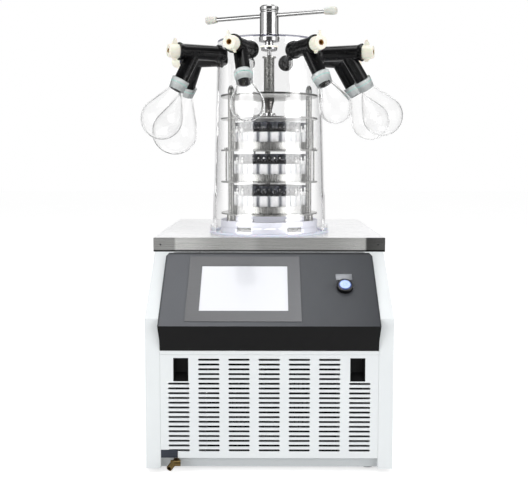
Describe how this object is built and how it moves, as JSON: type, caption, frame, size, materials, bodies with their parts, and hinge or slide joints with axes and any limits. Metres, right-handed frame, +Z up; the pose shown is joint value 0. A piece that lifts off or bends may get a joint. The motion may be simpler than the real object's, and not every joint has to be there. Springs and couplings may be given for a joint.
{
  "type": "freeze dryer",
  "caption": "Bench-top laboratory freeze dryer with a clear bell, a top-press stoppering rack, side valves with glass flasks and a cold trap under a steel table.",
  "frame": {"origin": "on the floor, under the middle of the cabinet's plan", "axes": "+Z up, front towards -Y, +X to the right seen from the front"},
  "size_m": [0.5499, 0.6456, 0.9003],
  "materials": {
    "white_paint": "satin powder coat",
    "zinc_sheet": "satin",
    "rubber_black": "matte",
    "brushed_steel": "brushed",
    "polished_steel": "polished",
    "black_plastic": "matte",
    "grey_plastic": "fine grain",
    "screen_glass": "gloss",
    "button_blue": "gloss",
    "brass": "satin",
    "copper": "satin",
    "foam": "matte",
    "black_enamel": "gloss",
    "silicone": "matte",
    "acrylic": "clear gloss",
    "cream_plastic": "satin",
    "clear_glass": "clear gloss",
    "stopper_rubber": "matte"
  },
  "bodies": {
    "machine": {"cabinet_shell": "white_paint", "base_pan": "zinc_sheet", "rear_panel": "white_paint", "feet": "rubber_black", "table_top": "brushed_steel", "front_grille": "white_paint", "finger_cups": "black_plastic", "console": "grey_plastic", "display_bezel": "grey_plastic", "touch_screen": "screen_glass", "button_collar": "black_plastic", "drain_elbow": "brass", "trap_pot": "brushed_steel", "trap_coil": "copper", "trap_insulation": "foam", "vacuum_port": "brushed_steel", "compressor": "black_enamel", "compressor_mounts": "rubber_black", "condenser": "zinc_sheet", "fan_shroud": "zinc_sheet", "fan_motor": "zinc_sheet", "control_box": "zinc_sheet", "mains_inlet": "black_plastic", "seal_ring": "silicone", "bell": "acrylic", "port_plugs": "rubber_black", "lid_gland": "polished_steel", "gland_washer": "cream_plastic", "crown_plate": "brushed_steel", "guide_rods": "polished_steel", "rack_ring": "brushed_steel", "shelf_3": "brushed_steel", "tray_3": "brushed_steel", "vials_3": "clear_glass", "valve_bodies": "rubber_black", "flasks": "clear_glass"},
    "handle": {"handle_hub": "polished_steel", "handle_bar": "polished_steel", "bar_caps": "cream_plastic", "press_shaft": "polished_steel"},
    "screw": {"press_screw": "polished_steel"},
    "pressing_shelf": {"shelf_0": "brushed_steel", "swivel_housing": "polished_steel"},
    "shelf_1_set": {"shelf_1": "brushed_steel", "tray_1": "brushed_steel", "vials_1": "clear_glass"},
    "shelf_2_set": {"shelf_2": "brushed_steel", "tray_2": "brushed_steel", "vials_2": "clear_glass"},
    "stoppers_1_set": {"stoppers_1": "stopper_rubber"},
    "stoppers_2_set": {"stoppers_2": "stopper_rubber"},
    "stoppers_3_set": {"stoppers_3": "stopper_rubber"},
    "button": {"power_button": "button_blue"},
    "fan": {"fan_blades": "black_plastic"},
    "valve_knob_1": {"knob_1": "cream_plastic"},
    "valve_knob_2": {"knob_2": "cream_plastic"},
    "valve_knob_3": {"knob_3": "cream_plastic"},
    "valve_knob_4": {"knob_4": "cream_plastic"},
    "valve_knob_5": {"knob_5": "cream_plastic"},
    "valve_knob_6": {"knob_6": "cream_plastic"}
  },
  "joints": [
    {"name": "handle_turn", "type": "hinge", "parent": "machine", "child": "handle", "pos_m": [0, -0.032, 0.826], "axis": [0, 0, -1], "range_deg": [0, 1620]},
    {"name": "screw_feed", "type": "slide", "parent": "handle", "child": "screw", "axis": [0, 0, -1], "range_m": [0, 0.03602]},
    {"name": "shelf_0_slide", "type": "slide", "parent": "machine", "child": "pressing_shelf", "axis": [0, 0, -1], "range_m": [0, 0.03602]},
    {"name": "shelf_1_slide", "type": "slide", "parent": "machine", "child": "shelf_1_set", "axis": [0, 0, -1], "range_m": [0, 0.02402]},
    {"name": "shelf_2_slide", "type": "slide", "parent": "machine", "child": "shelf_2_set", "axis": [0, 0, -1], "range_m": [0, 0.01202]},
    {"name": "stoppers_1_press", "type": "slide", "parent": "shelf_1_set", "child": "stoppers_1_set", "axis": [0, 0, -1], "range_m": [0, 0.00592]},
    {"name": "stoppers_2_press", "type": "slide", "parent": "shelf_2_set", "child": "stoppers_2_set", "axis": [0, 0, -1], "range_m": [0, 0.00592]},
    {"name": "stoppers_3_press", "type": "slide", "parent": "machine", "child": "stoppers_3_set", "axis": [0, 0, -1], "range_m": [0, 0.00592]},
    {"name": "button_press", "type": "slide", "parent": "machine", "child": "button", "axis": [0, 0.6499, -0.76], "range_m": [0, 0.0025], "stiffness_N_per_m": 400},
    {"name": "valve_1_turn", "type": "hinge", "parent": "machine", "child": "valve_knob_1", "pos_m": [-0.0674, -0.22233, 0.794], "axis": [-0.3338, -0.9426, 0], "range_deg": [0, 180]},
    {"name": "valve_2_turn", "type": "hinge", "parent": "machine", "child": "valve_knob_2", "pos_m": [0.08692, -0.21424, 0.794], "axis": [0.4305, -0.9026, 0], "range_deg": [0, 180]},
    {"name": "valve_3_turn", "type": "hinge", "parent": "machine", "child": "valve_knob_3", "pos_m": [-0.18224, -0.11892, 0.794], "axis": [-0.9026, -0.4305, 0], "range_deg": [0, 180]},
    {"name": "valve_4_turn", "type": "hinge", "parent": "machine", "child": "valve_knob_4", "pos_m": [0.19033, -0.0994, 0.794], "axis": [0.9426, -0.3338, 0], "range_deg": [0, 180]},
    {"name": "valve_5_turn", "type": "hinge", "parent": "machine", "child": "valve_knob_5", "pos_m": [-0.19033, 0.0354, 0.794], "axis": [-0.9426, 0.3338, 0], "range_deg": [0, 180]},
    {"name": "valve_6_turn", "type": "hinge", "parent": "machine", "child": "valve_knob_6", "pos_m": [0.18224, 0.05492, 0.794], "axis": [0.9026, 0.4305, 0], "range_deg": [0, 180]},
    {"name": "fan_spin", "type": "hinge", "parent": "machine", "child": "fan", "pos_m": [0.005, -0.23, 0.108], "axis": [0, 1, 0], "continuous": true}
  ],
  "couplings": [
    {"joint": "screw_feed", "follows": "handle_turn", "m_per_rad": 0.0012732},
    {"joint": "shelf_0_slide", "follows": "handle_turn", "m_per_rad": 0.0012732},
    {"joint": "shelf_1_slide", "follows": "handle_turn", "m_per_rad": 0.00084883},
    {"joint": "shelf_2_slide", "follows": "handle_turn", "m_per_rad": 0.00042441},
    {"joint": "stoppers_1_press", "follows": "handle_turn", "m_per_rad": 0.00020867},
    {"joint": "stoppers_2_press", "follows": "handle_turn", "m_per_rad": 0.00020867},
    {"joint": "stoppers_3_press", "follows": "handle_turn", "m_per_rad": 0.00020867}
  ]
}
